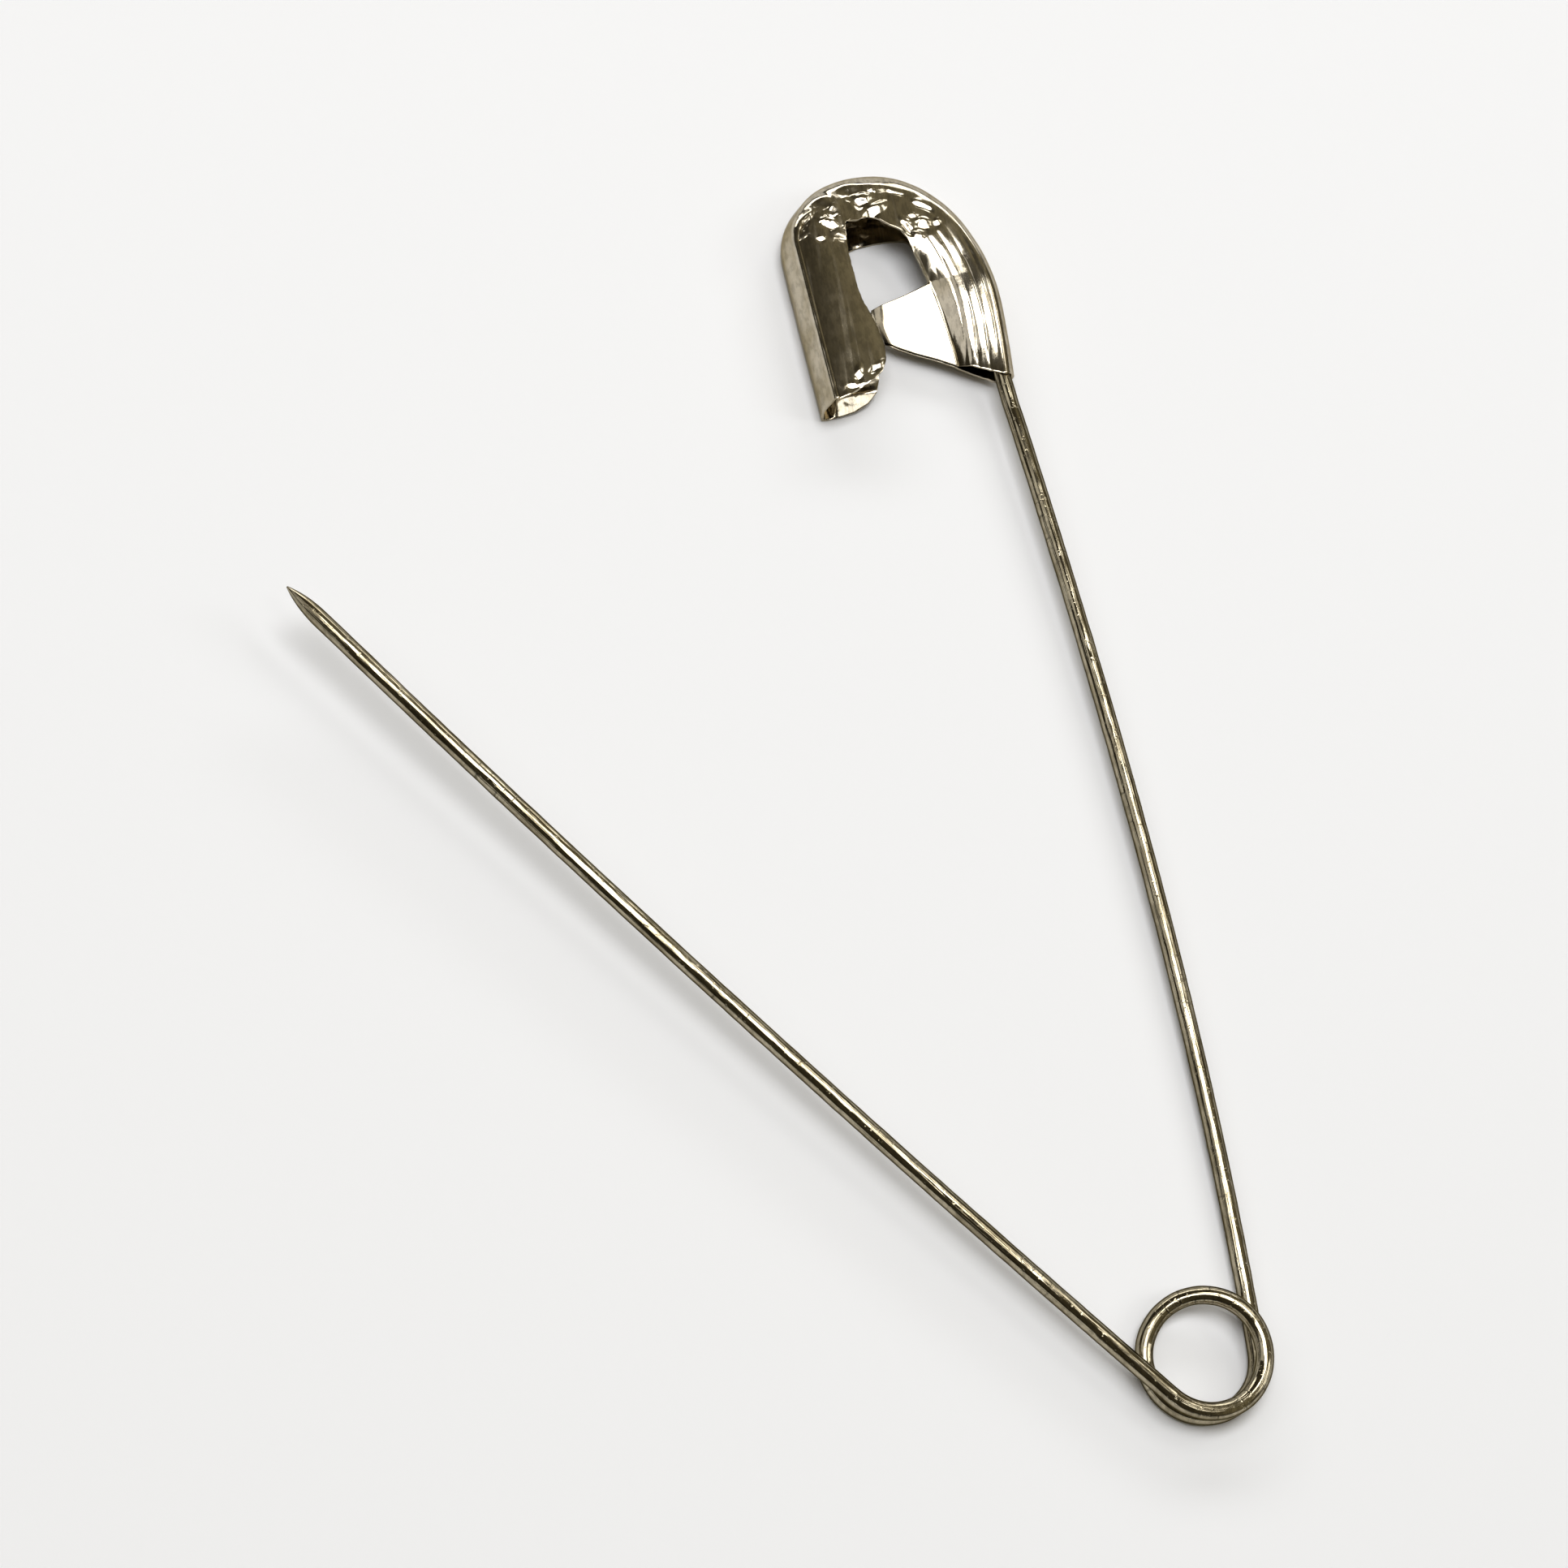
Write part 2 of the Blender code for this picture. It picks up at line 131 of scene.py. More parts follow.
def swept_wire(name, line, seed, radii=None, along_start=0, round_end=False):
    """A closed tube along the line. Its UV map runs lengthwise and round the wire, in millimetres."""
    radii = radii or [WIRE_RADIUS] * len(line)
    if round_end:
        line, radii = domed(line, radii)
    ahead = [(b - a).normalized() for a, b in zip(line, line[1:])]
    ahead.append(ahead[-1])
    side = ahead[0].cross(Vector((0, 0, 1))).normalized()
    verts, lengths, along = [], [], along_start
    for index, (point, radius) in enumerate(zip(line, radii)):
        tangent = (ahead[index] + ahead[max(index - 1, 0)]).normalized()
        side = (side - tangent * side.dot(tangent)).normalized()
        other = tangent.cross(side)
        if index:
            along += (point - line[index - 1]).length
        lengths.append(along)
        for turn in range(WIRE_SIDES):
            angle = 2 * math.pi * turn / WIRE_SIDES
            skin = radius + wire_waves(along, angle, seed) * min(1, radius / WIRE_RADIUS)
            verts.append(point + (side * math.cos(angle) + other * math.sin(angle)) * skin)
    faces = []
    for ring in range(len(line) - 1):
        for turn in range(WIRE_SIDES):
            after = (turn + 1) % WIRE_SIDES
            low, high = ring * WIRE_SIDES, (ring + 1) * WIRE_SIDES
            faces.append((low + turn, high + turn, high + after, low + after))
    faces.append(tuple(range(WIRE_SIDES)))
    faces.append(tuple(reversed(range(len(verts) - WIRE_SIDES, len(verts)))))
    mesh = bpy.data.meshes.new(name)
    mesh.from_pydata(verts, [], faces)
    layer = mesh.uv_layers.new(name="drawn_mm")
    around = 2 * math.pi * WIRE_RADIUS * MM
    for face in mesh.polygons[:-2]:
        turns = [mesh.loops[loop].vertex_index % WIRE_SIDES for loop in face.loop_indices]
        for loop, turn in zip(face.loop_indices, turns):
            wrapped = WIRE_SIDES if turn == 0 and max(turns) == WIRE_SIDES - 1 else turn
            ring = mesh.loops[loop].vertex_index // WIRE_SIDES
            layer.data[loop].uv = (lengths[ring] * MM, around * wrapped / WIRE_SIDES)
    mesh.shade_smooth()
    mesh.set_sharp_from_angle(angle=math.radians(SHARP_FROM_DEG))
    return placed(name, mesh)


def group(name, inputs, outputs):
    """An empty shader node group. Each input is (name, kind, default) and each output (name, kind)."""
    tree = bpy.data.node_groups.new(name, "ShaderNodeTree")
    for label, kind, default in inputs:
        socket = tree.interface.new_socket(label, in_out="INPUT", socket_type=kind)
        if default is not None:
            socket.default_value = default
    for label, kind in outputs:
        tree.interface.new_socket(label, in_out="OUTPUT", socket_type=kind)
    return tree, tree.nodes.new("NodeGroupInput"), tree.nodes.new("NodeGroupOutput")


def node(tree, kind, settings=None, **inputs):
    """A node with its settings made and its inputs linked or filled in.

    An input is given by its label, with _ for a space, or by i and its number where labels repeat.
    """
    made = tree.nodes.new(kind)
    for key, value in (settings or {}).items():
        setattr(made, key, value)
    for key, value in inputs.items():
        numbered = key[0] == "i" and key[1:].isdigit()
        socket = made.inputs[int(key[1:])] if numbered else made.inputs[key.replace("_", " ")]
        if isinstance(value, bpy.types.NodeSocket):
            tree.links.new(value, socket)
        else:
            socket.default_value = value
    return made


def math_node(tree, operation, *values, clamp=False):
    """The result of a math node on these values."""
    given = {f"i{index}": value for index, value in enumerate(values)}
    return node(tree, "ShaderNodeMath", {"operation": operation, "use_clamp": clamp}, **given).outputs[0]


def spread(tree, value, low, high, to_low=0.0, to_high=1.0):
    """A value spread smoothly from one range to another and held at its ends."""
    made = node(tree, "ShaderNodeMapRange", {"interpolation_type": "SMOOTHSTEP"}, Value=value,
                From_Min=low, From_Max=high, To_Min=to_low, To_Max=to_high)
    return made.outputs["Result"]


# The plate's shared effects: the scales of their noises, and the values between which each one fades in
SCRATCH_SCALE = 0.45
SCRATCH_CUT = 0.72
SCRATCH_EDGE = 14.0
CLOUDS_BETWEEN = (0.40, 0.68)
SPECKS_BETWEEN = (0.66, 0.78)
SPECK_FINENESS = 14.0
MOTTLES_BETWEEN = (0.42, 0.62)
MOTTLE_STRETCH = (3.4, 1.3, 2.0)
NICKS_ALONG = 3.2
NICKS_ACROSS = 0.7
NICKS_BETWEEN = (0.62, 0.70)
NICK_BAND_SCALE = 0.13
NICK_BANDS_BETWEEN = (0.50, 0.62)


def hairlines():
    """Long fine scratches along the first direction of the vector. Gives their height and where they are."""
    tree, given, out = group(
        "hairlines",
        [("Vector", "NodeSocketVector", None), ("Length", "NodeSocketFloat", 0.15),
         ("Fineness", "NodeSocketFloat", 9.0), ("Share", "NodeSocketFloat", 0.3)],
        [("Height", "NodeSocketFloat"), ("Mask", "NodeSocketFloat")],
    )
    parts = node(tree, "ShaderNodeSeparateXYZ", Vector=given.outputs["Vector"])
    along = math_node(tree, "MULTIPLY", parts.outputs[0], given.outputs["Length"])
    across = math_node(tree, "MULTIPLY", parts.outputs[1], given.outputs["Fineness"])
    stretched = node(tree, "ShaderNodeCombineXYZ", X=along, Y=across, Z=parts.outputs[2])
    grain = node(tree, "ShaderNodeTexNoise", Vector=stretched.outputs[0], Scale=1.0, Detail=3.0,
                 Roughness=0.6)
    rare = node(tree, "ShaderNodeTexNoise", Vector=stretched.outputs[0], Scale=SCRATCH_SCALE, Detail=1.0)
    cut = math_node(tree, "SUBTRACT", 1.0, given.outputs["Share"])
    deep = math_node(tree, "SUBTRACT", rare.outputs["Fac"], math_node(tree, "MULTIPLY", cut, SCRATCH_CUT))
    mask = math_node(tree, "MULTIPLY", deep, SCRATCH_EDGE, clamp=True)
    tree.links.new(math_node(tree, "SUBTRACT", grain.outputs["Fac"], mask), out.inputs["Height"])
    tree.links.new(mask, out.inputs["Mask"])
    return tree


def plate_tone():
    """Cloudy tone of a bright nickel plate. Gives its colour and where the plate is duller."""
    tree, given, out = group(
        "plate_tone",
        [("Vector", "NodeSocketVector", None), ("Bright", "NodeSocketColor", (0.6, 0.57, 0.5, 1)),
         ("Dull", "NodeSocketColor", (0.45, 0.4, 0.31, 1)), ("Size", "NodeSocketFloat", 0.5),
         ("Mottling", "NodeSocketFloat", 0.2)],
        [("Color", "NodeSocketColor"), ("Dullness", "NodeSocketFloat")],
    )
    clouds = node(tree, "ShaderNodeTexNoise", Vector=given.outputs["Vector"], Scale=given.outputs["Size"],
                  Detail=4.0, Roughness=0.55)
    specks = node(tree, "ShaderNodeTexNoise", Vector=given.outputs["Vector"],
                  Scale=math_node(tree, "MULTIPLY", given.outputs["Size"], SPECK_FINENESS), Detail=2.0)
    dull = spread(tree, clouds.outputs["Fac"], *CLOUDS_BETWEEN)
    speck = spread(tree, specks.outputs["Fac"], *SPECKS_BETWEEN)
    total = math_node(tree, "ADD", dull, speck, clamp=True)
    mixed = node(tree, "ShaderNodeMix", {"data_type": "RGBA"}, i0=total, i6=given.outputs["Bright"],
                 i7=given.outputs["Dull"])
    stretched = node(tree, "ShaderNodeVectorMath", {"operation": "MULTIPLY"}, i0=given.outputs["Vector"],
                     i1=MOTTLE_STRETCH)
    mottles = node(tree, "ShaderNodeTexNoise", Vector=stretched.outputs[0], Scale=1.0, Detail=3.0,
                   Roughness=0.6)
    mottle = spread(tree, mottles.outputs["Fac"], *MOTTLES_BETWEEN)
    uneven = math_node(tree, "MULTIPLY", mottle, given.outputs["Mottling"])
    kept = math_node(tree, "SUBTRACT", 1.0, uneven)
    toned = node(tree, "ShaderNodeVectorMath", {"operation": "SCALE"}, i0=mixed.outputs[2], Scale=kept)
    tree.links.new(toned.outputs[0], out.inputs["Color"])
    tree.links.new(total, out.inputs["Dullness"])
    return tree


def nicks():
    """Short dark marks across the first direction of the vector, in loose bands along it."""
    tree, given, out = group("nicks", [("Vector", "NodeSocketVector", None)], [("Mask", "NodeSocketFloat")])
    parts = node(tree, "ShaderNodeSeparateXYZ", Vector=given.outputs["Vector"])
    along = math_node(tree, "MULTIPLY", parts.outputs[0], NICKS_ALONG)
    across = math_node(tree, "MULTIPLY", parts.outputs[1], NICKS_ACROSS)
    squeezed = node(tree, "ShaderNodeCombineXYZ", X=along, Y=across, Z=parts.outputs[2])
    marks = node(tree, "ShaderNodeTexNoise", Vector=squeezed.outputs[0], Scale=1.0, Detail=1.0)
    bands = node(tree, "ShaderNodeTexNoise", Vector=given.outputs["Vector"], Scale=NICK_BAND_SCALE,
                 Detail=1.0)
    mark = spread(tree, marks.outputs["Fac"], *NICKS_BETWEEN)
    band = spread(tree, bands.outputs["Fac"], *NICK_BANDS_BETWEEN)
    tree.links.new(math_node(tree, "MULTIPLY", mark, band), out.inputs["Mask"])
    return tree


HAIRLINES = hairlines()
PLATE_TONE = plate_tone()
NICKS = nicks()
DARK_RIM = (0.5, 0.46, 0.37, 1)
BUMP_HEIGHT = 0.000012


def bare_plate(name):
    """A material of bare plate, with its nodes, its shader and the place on the piece in millimetres."""
    material = bpy.data.materials.new(name)
    material.use_nodes = True
    tree = material.node_tree
    shader = tree.nodes["Principled BSDF"]
    shader.inputs["Metallic"].default_value = 1.0
    shader.inputs["Specular Tint"].default_value = DARK_RIM
    place = tree.nodes.new("ShaderNodeTexCoord").outputs["Object"]
    place_mm = node(tree, "ShaderNodeVectorMath", {"operation": "SCALE"}, i0=place, Scale=float(MM))
    return material, tree, shader, place_mm.outputs[0]


def rubbed(tree, shader, tone, lines, least, where_dull, where_lined):
    """Makes the plate rougher where its tone is dull and where its deeper scratches run."""
    rough = math_node(tree, "MULTIPLY_ADD", tone.outputs["Dullness"], where_dull, least)
    rough = math_node(tree, "MULTIPLY_ADD", lines.outputs["Mask"], where_lined, rough)
    tree.links.new(rough, shader.inputs["Roughness"])


def embossed(tree, shader, height, strength):
    """Gives the plate's surface this fine relief."""
    bump = node(tree, "ShaderNodeBump", Strength=strength, Distance=BUMP_HEIGHT, Height=height)
    tree.links.new(bump.outputs["Normal"], shader.inputs["Normal"])


WIRE_BRIGHT = (0.41, 0.36, 0.255, 1)
WIRE_DULL = (0.27, 0.23, 0.15, 1)
# Painted shade on the wire: between these facing values its colour darkens, down to this share at the edges
# the camera sees side-on
PAINTED_RIM_SHADE_BETWEEN = (0.30, 0.66)
PAINTED_RIM_SHADE_SHARE = 0.13
NICK_SHADE = -0.55
NICK_RELIEF = -1.2
PITS_BETWEEN = (0.60, 0.74)
PIT_RELIEF = -1.6


def plated_wire():
    """Bright nickel on drawn wire: lengthwise die lines, scratches and crosswise nicks, with painted shade
    that darkens the wire's colour towards the edges the camera sees side-on.
    """
    material, tree, shader, place_mm = bare_plate("plated_wire")
    drawn = node(tree, "ShaderNodeUVMap", {"uv_map": "drawn_mm"}).outputs[0]
    tone = node(tree, "ShaderNodeGroup", {"node_tree": PLATE_TONE}, Vector=place_mm, Bright=WIRE_BRIGHT,
                Dull=WIRE_DULL, Size=0.35, Mottling=0.25)
    facing = tree.nodes.new("ShaderNodeLayerWeight")
    # Painted shade: the base colour darkens where the wire turns away from the camera, in place of dark
    # reflections at its edges
    painted_rim_shade = spread(tree, facing.outputs["Facing"], *PAINTED_RIM_SHADE_BETWEEN, 1.0, PAINTED_RIM_SHADE_SHARE)
    nick = node(tree, "ShaderNodeGroup", {"node_tree": NICKS}, Vector=drawn).outputs["Mask"]
    painted_shade_and_nicks = math_node(tree, "MULTIPLY", painted_rim_shade, math_node(tree, "MULTIPLY_ADD", nick, NICK_SHADE, 1.0))
    toned = node(tree, "ShaderNodeVectorMath", {"operation": "SCALE"}, i0=tone.outputs["Color"], Scale=painted_shade_and_nicks)
    tree.links.new(toned.outputs[0], shader.inputs["Base Color"])
    lines = node(tree, "ShaderNodeGroup", {"node_tree": HAIRLINES}, Vector=drawn, Length=0.22, Fineness=7.0,
                 Share=0.3)
    pits = node(tree, "ShaderNodeTexNoise", Vector=place_mm, Scale=2.6, Detail=3.0)
    pit = spread(tree, pits.outputs["Fac"], *PITS_BETWEEN)
    rubbed(tree, shader, tone, lines, least=0.045, where_dull=0.08, where_lined=0.06)
    height = math_node(tree, "MULTIPLY_ADD", pit, PIT_RELIEF, lines.outputs["Height"])
    height = math_node(tree, "MULTIPLY_ADD", nick, NICK_RELIEF, height)
    embossed(tree, shader, height, strength=0.6)
    return material


WIRE_PLATE = plated_wire()

back_seam = on_coil(COIL_START_DEG, COIL_FOOT)
back_line = bowed(back_seam, BACK_ARM_START_DEG, BACK_ARM_END_DEG, BACK_ARM_LENGTH, -COIL_FOOT,
                  BACK_ARM_EARLY_BEND)
for index, point in enumerate(back_line):
    from_mouth = BACK_ARM_LENGTH * (1 - index / (len(back_line) - 1))
    point.z -= KINK_DEPTH * math.exp(-(((from_mouth - KINK_PLACE) / KINK_WIDTH) ** 2))
inside = toward(BACK_ARM_END_DEG) * WIRE_STEP
steps_inside = round(BACK_ARM_IN_CRIMP / WIRE_STEP)
back_line += [back_line[-1] + inside * (index + 1) for index in range(steps_inside)]
back_arm = swept_wire("bowed_back_arm", back_line, seed=2.3)
back_arm.data.materials.append(WIRE_PLATE)
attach(back_arm, "cap_and_back_arm")
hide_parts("back_arm")


# The coil. The same wire, wound once and a third round a mandrel, so that it springs the pin arm open. Its
# first half turn lies flat, then it climbs over its own start. The lower stretch stays with the back arm, the
# upper one turns with the pin arm, and the climbing one between them is left in place, joined to neither.

COIL_PITCH = 0.00172
COIL_FLAT_DEG = 165
COIL_LIFTED_DEG = 330
PIN_ARM_START_DEG = 127.7
COIL_STEP_DEG = 2.5
COIL_TURN_DEG = 360 + COIL_START_DEG - (PIN_ARM_START_DEG - 270)
CLIMB_FIRST_DEG = 174.5
CLIMB_LAST_DEG = COIL_LIFTED_DEG


def held(value):
    """The value, held between 0 and 1."""
    return min(max(value, 0), 1)


def eased(value):
    """The value, held between 0 and 1, with a soft start and a soft end."""
    value = held(value)
    return value * value * (3 - 2 * value)


def coil_stretch(first_deg, last_deg):
    """Middle line of a stretch of the coil, counted in degrees wound from the back arm."""
    count = max(2, round((last_deg - first_deg) / COIL_STEP_DEG))
    line = []
    for index in range(count + 1):
        wound = first_deg + (last_deg - first_deg) * index / count
        lifted = eased((wound - COIL_FLAT_DEG) / (COIL_LIFTED_DEG - COIL_FLAT_DEG))
        line.append(on_coil(COIL_START_DEG - wound, COIL_FOOT + COIL_PITCH * lifted))
    return line


stretches = {
    "coil_lower_turn": (0, CLIMB_FIRST_DEG),
    "coil_climb": (CLIMB_FIRST_DEG, CLIMB_LAST_DEG),
    "coil_upper_turn": (CLIMB_LAST_DEG, COIL_TURN_DEG),
}
for name, (first, last) in stretches.items():
    wound_before = math.radians(first) * COIL_RADIUS
    coil = swept_wire(name, coil_stretch(first, last), along_start=-wound_before, seed=4.1,
                      round_end=name == "coil_upper_turn")
    coil.data.materials.append(WIRE_PLATE)
    if name == "coil_lower_turn":
        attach(coil, "cap_and_back_arm")
    elif name == "coil_upper_turn":
        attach(coil, "coil")
    else:
        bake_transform(coil)
    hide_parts("spring_coil")


# The pin arm. The other end of the wire, rolled nearly straight and ground to a point that pierces cloth. The
# point leaves the wire gently and gets steeper towards its tip, with shallow flats from the grinding.

PIN_ARM_END_DEG = 124.3
PIN_ARM_LENGTH = 0.0841
PIN_ARM_RISE = 0.002525
POINT_LENGTH = 0.0038
POINT_TIP_SHARE = 0.09
POINT_FULLNESS = 2.5

pin_seam = on_coil(PIN_ARM_START_DEG - 270, COIL_FOOT + COIL_PITCH)
pin_line = bowed(pin_seam, PIN_ARM_START_DEG, PIN_ARM_END_DEG, PIN_ARM_LENGTH, PIN_ARM_RISE)
from_tip = [PIN_ARM_LENGTH * (1 - index / (len(pin_line) - 1)) for index in range(len(pin_line))]
to_taper = [max(1 - left / POINT_LENGTH, 0) ** POINT_FULLNESS for left in from_tip]
pin_radii = [WIRE_RADIUS * (1 - (1 - POINT_TIP_SHARE) * share) for share in to_taper]
pin_arm = swept_wire("pointed_pin_arm", pin_line, seed=7.7, radii=pin_radii)
pin_arm.data.materials.append(WIRE_PLATE)
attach(pin_arm, "pin")
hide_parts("pin_arm")


# The clasp cap. Thin sheet steel, blanked, folded over its outer edge and pressed: a keeper that takes the
# point on one side, a round crown, and a fluted channel on the other side whose walls meet as a guard tongue
# and are crimped round the wire. The press wrinkles the crown, and the sheared edges are a little ragged.

CAP_CORNER = Vector((0.013692, 0.030524, 0.0019))
CAP_SHEET = 0.00022
CAP_WIDTH = 0.01545
CAP_LENGTH = 0.01915
KEEPER_SHOULDER = 0.01345
CRIMP_SHOULDER = 0.00945
CROWN_FOOT = 0.0066
CROWN_SQUARENESS = 2.18
CROWN_ACROSS = 0.0067
HALF_DEPTH = 0.0019 - CAP_SHEET / 2
CRIMP_DEPTH = 0.00088
CRIMP_END = 0.0008
CRIMP_NARROWING = 0.00035
KEEPER_FOLD = 0.00034
CROWN_FOLD = 0.00095
CROWN_FOLD_ACROSS = 0.0017
KEEPER_BULGE = 0.00050
BULGE_PEAK = 0.62
BULGE_FALL = 0.3
KEEPER_TILT = 0.25
KEEPER_ROUND = 41.5
CHANNEL_TOP = 0.00495
CHANNEL_FOOT = 0.00400
SLOPE_START = 0.0009
SLOPE_BREAK = 0.0031
SLOPE_SHARE = 0.36
GENTLE_CURVE = 0.9
STEEP_CURVE = 1.25
PINCH_TOP = 0.0142
TONGUE_HALF = 0.000175
TONGUE_LEAN = 0.13
TONGUE_DROOP = 0.08
TONGUE_END_BEND = 0.00026
TONGUE_BENDS_FROM = 0.8
TONGUE_BENDS_OVER = 0.2
TONGUE_MIDDLE = 0.0062
TONGUE_BELLY = 0.00016

# Flutes rolled into the channel: (middle, in from the outer edge; half width; depth; height where it begins)
FLUTES = ((0.00125, 0.00012, 0.00005, 0.0150), (0.00188, 0.00011, 0.00006, 0.0148),
          (0.00262, 0.00013, 0.00007, 0.0144), (0.00345, 0.00015, 0.00008, 0.0138),
          (0.00420, 0.00010, 0.00003, 0.0128))
FLUTE_RUN_IN = 0.0035
FLUTE_WANDER = 0.00022
WANDERS_ACROSS = 500
WANDERS_UP = 160
WANDERS_SIDE = 3
FLUTE_EVENNESS = 0.9
FLUTE_UNEVENNESS = 1.2
UNEVEN_UP = 340
UNEVEN_BY_FLUTE = 9000

# Outlines of the cap's inner edges, as places (across from the keeper's outer wall, up from its mouth)
FRONT_LIP = ((0.0, 0.0), (0.00105, 0.00022), (0.00225, 0.00070), (0.0034, 0.00124), (0.00425, 0.00184),
             (0.00478, 0.00280), (0.00502, 0.0040))
BACK_LIP = ((0.0, 0.0), (0.0012, 0.00008), (0.0024, 0.00028), (0.0035, 0.00072), (0.0043, 0.00140),
            (0.00480, 0.00250), (0.00502, 0.0040))
KEEPER_EDGE = ((0.00502, 0.0040), (0.00490, 0.0054), (0.00458, 0.0068), (0.00424, 0.0080), (0.00410, 0.0092),
               (0.00412, 0.0124), (0.00426, 0.01345))
FRONT_WINDOW = ((0.00426, 0.01345), (0.00446, 0.01496), (0.00540, 0.01494), (0.00610, 0.01510),
                (0.00665, 0.01510), (0.00740, 0.01466), (0.00870, 0.01370), (0.00912, 0.01300),
                (0.00948, 0.01150), (0.00992, 0.01020), (0.01024, 0.00940))
BACK_WINDOW = ((0.00426, 0.01345), (0.00480, 0.01400), (0.00600, 0.01446), (0.00840, 0.01472),
               (0.01020, 0.01450), (0.01080, 0.01300), (0.01070, 0.01120), (0.01024, 0.00940))
TONGUE_TOP = ((0.01027, 0.0094), (0.0080, 0.00870), (0.00535, 0.00806))
TONGUE_FOOT = ((0.01112, 0.00242), (0.00958, 0.00326), (0.00795, 0.00402), (0.00667, 0.00472),
               (0.00549, 0.0056))
PARALLEL = 1e-12
OUTLINE_SLACK = 1e-6

# How ragged the sheared edges are: its scales and depths, and how soon it fades in at the joins
RAGGED_SLOW = 700
RAGGED_SLOW_DEPTH = 0.00008
RAGGED_FAST = 2600
RAGGED_FAST_DEPTH = 0.00003
RAGGED_RUN_IN = 0.0012
KEEPER_FADE_FOOT = 6
KEEPER_FADE_TOP = 8

# How fast the forms of the mouth, the keeper and the crown pass into one another
KEEPER_EDGE_PACE = 1.15
LIP_FADE = 3
CROWN_FOLD_PACE = 1.4
CROWN_FLATTENS = 1.5

STATION = 0.00012
WALL_STEPS = 8
FOLD_STEPS = 10
FLAT_STEPS = 56
TONGUE_STEPS = 44


def along_outline(outline, share):
    """The place that far along an outline, by its length."""
    points = np.array(outline)
    runs = np.concatenate([[0], np.cumsum(np.linalg.norm(np.diff(points, axis=0), axis=1))])
    return np.array([np.interp(share * runs[-1], runs, points[:, axis]) for axis in (0, 1)])


def distance_to(outline, start, inward):
    """How far a straight line in from the outer edge runs before it meets the outline."""
    best = None
    for a, b in zip(np.array(outline), np.array(outline)[1:]):
        edge = b - a
        cross = inward[0] * edge[1] - inward[1] * edge[0]
        if abs(cross) < PARALLEL:
            continue
        gap = a - start
        far = (gap[0] * edge[1] - gap[1] * edge[0]) / cross
        on = (gap[0] * inward[1] - gap[1] * inward[0]) / cross
        met = -OUTLINE_SLACK <= on <= 1 + OUTLINE_SLACK and far > 0
        if met and (best is None or far < best):
            best = far
    return best


def evened(values, window=9):
    """A table of rows, each the mean of those round it, with the first and last kept."""
    half = window // 2
    padded = np.concatenate([np.repeat(values[:1], half, 0), values, np.repeat(values[-1:], half, 0)])
    return np.array([padded[index : index + window].mean(axis=0) for index in range(len(values))])


def ragged(run, seed):
    """Small unevenness of a sheared edge, at this distance along it."""
    slow = noise.noise(Vector((run * RAGGED_SLOW, seed, 0)))
    fast = noise.noise(Vector((run * RAGGED_FAST, seed, 5)))
    return RAGGED_SLOW_DEPTH * slow + RAGGED_FAST_DEPTH * fast


def crimp_side(up):
    """How far across the crimp side's outer edge lies here: a full quarter round, then nearly straight."""
    if up > CROWN_FOOT:
        share = (up - CROWN_FOOT) / (CAP_LENGTH - CROWN_FOOT)
        fullness = max(1 - share**CROWN_SQUARENESS, 0) ** (1 / CROWN_SQUARENESS)
        return CROWN_ACROSS + (CAP_WIDTH - CROWN_ACROSS) * fullness
    return CAP_WIDTH - CRIMP_NARROWING * ((CROWN_FOOT - up) / (CROWN_FOOT - CRIMP_END)) ** 2


def tongue_plane(up):
    """The pinch leans: its middle plane rises up the cap, which tips the tongue towards the light."""
    return TONGUE_LEAN * (up - TONGUE_MIDDLE)


def channel(up):
    """How wide the fluted channel is at this height, from its outer edge to the pinch."""
    share = held((up - CRIMP_END) / (CRIMP_SHOULDER - CRIMP_END))
    return CHANNEL_FOOT + (CHANNEL_TOP - CHANNEL_FOOT) * share


def pinched(up):
    """How far the walls are pinched together here: not at all in the crown, fully at the tongue's top."""
    run = held((PINCH_TOP - up) / (PINCH_TOP - CRIMP_SHOULDER))
    return (run + eased(run)) / 2


def fluted_height(side, inward, depth, pinch, up, root_up):
    """Height of the crimp side's wall: it falls from the outer fold to the pinch, with rolled flutes in it.

    The pinch's foot lies in the leaning plane of the tongue, at the height root_up.
    """
    wander = noise.noise(Vector((up * WANDERS_UP, side * WANDERS_SIDE, inward * WANDERS_ACROSS)))
    place = inward + FLUTE_WANDER * wander
    top = depth
    for middle, half, deep, begins in FLUTES:
        uneven = noise.noise(Vector((up * UNEVEN_UP, middle * UNEVEN_BY_FLUTE, side)))
        deep *= eased((begins - up) / FLUTE_RUN_IN) * (FLUTE_EVENNESS + FLUTE_UNEVENNESS * uneven)
        top -= deep * math.exp(-(((place - middle) / half) ** 2))
    gentle = held((inward - SLOPE_START) / (SLOPE_BREAK - SLOPE_START)) ** GENTLE_CURVE
    steep = held((inward - SLOPE_BREAK) / (channel(up) - SLOPE_BREAK)) ** STEEP_CURVE
    slope = SLOPE_SHARE * gentle + (1 - SLOPE_SHARE) * steep
    foot = side * TONGUE_HALF + tongue_plane(root_up)
    return side * top + (foot - side * top) * slope * pinch


def rounded_height(side, inward, depth, rounded):
    """Height of the keeper's wall. Its front is a shallow round, highest near its free edge."""
    crest = KEEPER_TILT / (2 * KEEPER_ROUND)
    below = KEEPER_ROUND * (inward - crest) ** 2 if side > 0 else 0
    return side * (depth - below * rounded)


def bulged(height, depth, bulge):
    """How far the outer wall swells outwards here: most just under its middle."""
    down = (depth - height) / (2 * depth)
    past_peak = (down - BULGE_PEAK) / (1 - BULGE_PEAK)
    return bulge * (eased(down / BULGE_PEAK) - BULGE_FALL * eased(past_peak))


